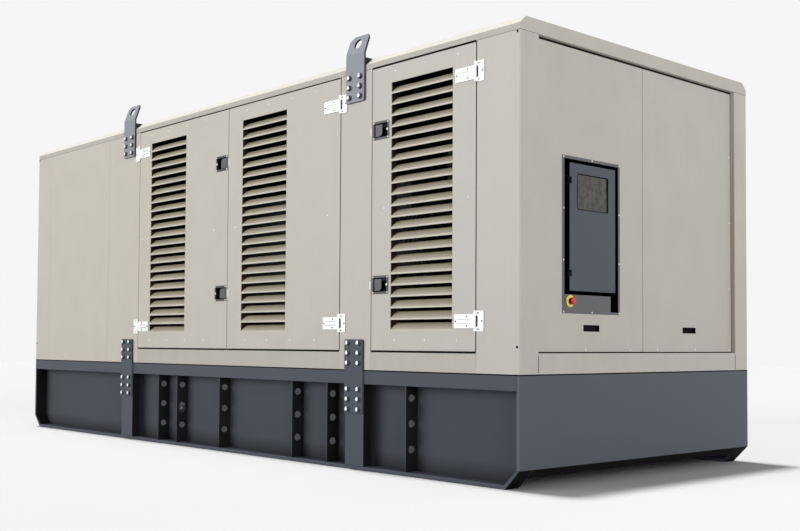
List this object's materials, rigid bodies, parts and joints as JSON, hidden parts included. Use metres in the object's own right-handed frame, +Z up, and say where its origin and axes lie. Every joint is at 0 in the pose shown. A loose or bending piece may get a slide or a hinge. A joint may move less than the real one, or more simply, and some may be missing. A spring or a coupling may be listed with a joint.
{
  "type": "diesel generator",
  "caption": "Canopied diesel generator: skid base, beige acoustic canopy with louvred strap-hinged doors, lifting plates and a control panel with window and emergency stop on one end.",
  "frame": {"origin": "on the floor under the middle of the bounding box", "axes": "+X along the length towards the control panel end, -Y towards the pictured long side, +Z up"},
  "size_m": [5.156, 2.0274, 2.3489],
  "materials": {
    "canopy_paint": "satin beige powder coat",
    "base_paint": "satin dark blue-grey paint",
    "lug_paint": "light blue-grey paint",
    "bracket_paint": "dark grey paint",
    "black_paint": "black paint",
    "zinc": "bright zinc plate",
    "latch_black": "black plastic",
    "paddle_grey": "grey plastic",
    "control_grey": "grey paint",
    "control_black": "black plastic",
    "window_glass": "clear pane",
    "stop_yellow": "yellow plastic",
    "stop_red": "red plastic",
    "engine_paint": "grey engine paint",
    "alternator_paint": "grey paint",
    "radiator_black": "black finned core",
    "silencer_steel": "aluminised steel",
    "lining_foam": "black acoustic foam"
  },
  "bodies": {
    "root": {"base_top_rails": "base_paint", "base_webs": "base_paint", "base_skid_flanges": "base_paint", "base_lifting_posts": "base_paint", "base_ribs": "black_paint", "base_end_plates": "base_paint", "base_deck": "black_paint", "base_cross_members": "black_paint", "corner_posts": "canopy_paint", "middle_posts": "canopy_paint", "radiator_side_panels": "canopy_paint", "sills": "canopy_paint", "roof": "canopy_paint", "control_end_panels": "canopy_paint", "radiator_end_panels": "canopy_paint", "radiator_end_louvres": "canopy_paint", "flush_pulls": "latch_black", "control_frame": "control_grey", "control_box": "control_black", "control_hinge_brackets": "control_black", "stop_button_base": "stop_yellow", "frame_hinge_leaves": "zinc", "far_doors": "canopy_paint", "far_linings": "lining_foam", "canopy_linings": "lining_foam", "far_louvres": "canopy_paint", "far_hinges": "zinc", "far_latches": "latch_black", "lifting_lugs": "lug_paint", "lug_gussets": "black_paint", "tie_plates": "bracket_paint", "set_rails": "black_paint", "engine": "engine_paint", "alternator": "alternator_paint", "radiator": "radiator_black", "silencer": "silencer_steel"},
    "door_1": {"door_1_leaf": "canopy_paint", "door_1_lining": "lining_foam", "door_1_louvres": "canopy_paint", "door_1_hinges": "zinc", "door_1_latches": "latch_black"},
    "door_2": {"door_2_leaf": "canopy_paint", "door_2_lining": "lining_foam", "door_2_louvres": "canopy_paint", "door_2_hinges": "zinc"},
    "door_3": {"door_3_leaf": "canopy_paint", "door_3_lining": "lining_foam", "door_3_louvres": "canopy_paint", "door_3_hinges": "zinc", "door_3_latches": "latch_black"},
    "door_1_upper_paddle": {"door_1_upper_paddle": "paddle_grey"},
    "door_1_lower_paddle": {"door_1_lower_paddle": "paddle_grey"},
    "door_3_upper_paddle": {"door_3_upper_paddle": "paddle_grey"},
    "door_3_lower_paddle": {"door_3_lower_paddle": "paddle_grey"},
    "control_door": {"control_door": "control_grey", "control_window": "window_glass", "control_door_hinges": "control_black"},
    "stop_button": {"stop_button": "stop_red"}
  },
  "joints": [
    {"name": "door_1_hinge", "type": "hinge", "parent": "root", "child": "door_1", "pos_m": [-0.941, -1.007, 1.389], "axis": [0, 0, -1], "range_deg": [0, 120]},
    {"name": "door_2_hinge", "type": "hinge", "parent": "root", "child": "door_2", "pos_m": [1.267, -1.007, 1.389], "axis": [0, 0, 1], "range_deg": [0, 120]},
    {"name": "door_3_hinge", "type": "hinge", "parent": "root", "child": "door_3", "pos_m": [2.296, -1.007, 1.389], "axis": [0, 0, 1], "range_deg": [0, 120]},
    {"name": "door_1_lower_paddle_hinge", "type": "hinge", "parent": "door_1", "child": "door_1_lower_paddle", "pos_m": [0.134, -0.995, 0.985], "axis": [0, 0, 1], "range_deg": [0, 35], "stiffness_Nm_per_rad": 0.6},
    {"name": "door_1_upper_paddle_hinge", "type": "hinge", "parent": "door_1", "child": "door_1_upper_paddle", "pos_m": [0.134, -0.995, 1.804], "axis": [0, 0, 1], "range_deg": [0, 35], "stiffness_Nm_per_rad": 0.6},
    {"name": "door_3_lower_paddle_hinge", "type": "hinge", "parent": "door_3", "child": "door_3_lower_paddle", "pos_m": [1.559, -0.995, 0.985], "axis": [0, 0, -1], "range_deg": [0, 35], "stiffness_Nm_per_rad": 0.6},
    {"name": "door_3_upper_paddle_hinge", "type": "hinge", "parent": "door_3", "child": "door_3_upper_paddle", "pos_m": [1.559, -0.995, 1.804], "axis": [0, 0, -1], "range_deg": [0, 35], "stiffness_Nm_per_rad": 0.6},
    {"name": "control_door_hinge", "type": "hinge", "parent": "root", "child": "control_door", "pos_m": [2.554, -0.621, 1.252], "axis": [0, 0, -1], "range_deg": [0, 110]},
    {"name": "stop_button_push", "type": "slide", "parent": "root", "child": "stop_button", "axis": [-1, 0, 0], "range_m": [0, 0.005], "stiffness_N_per_m": 2000}
  ]
}
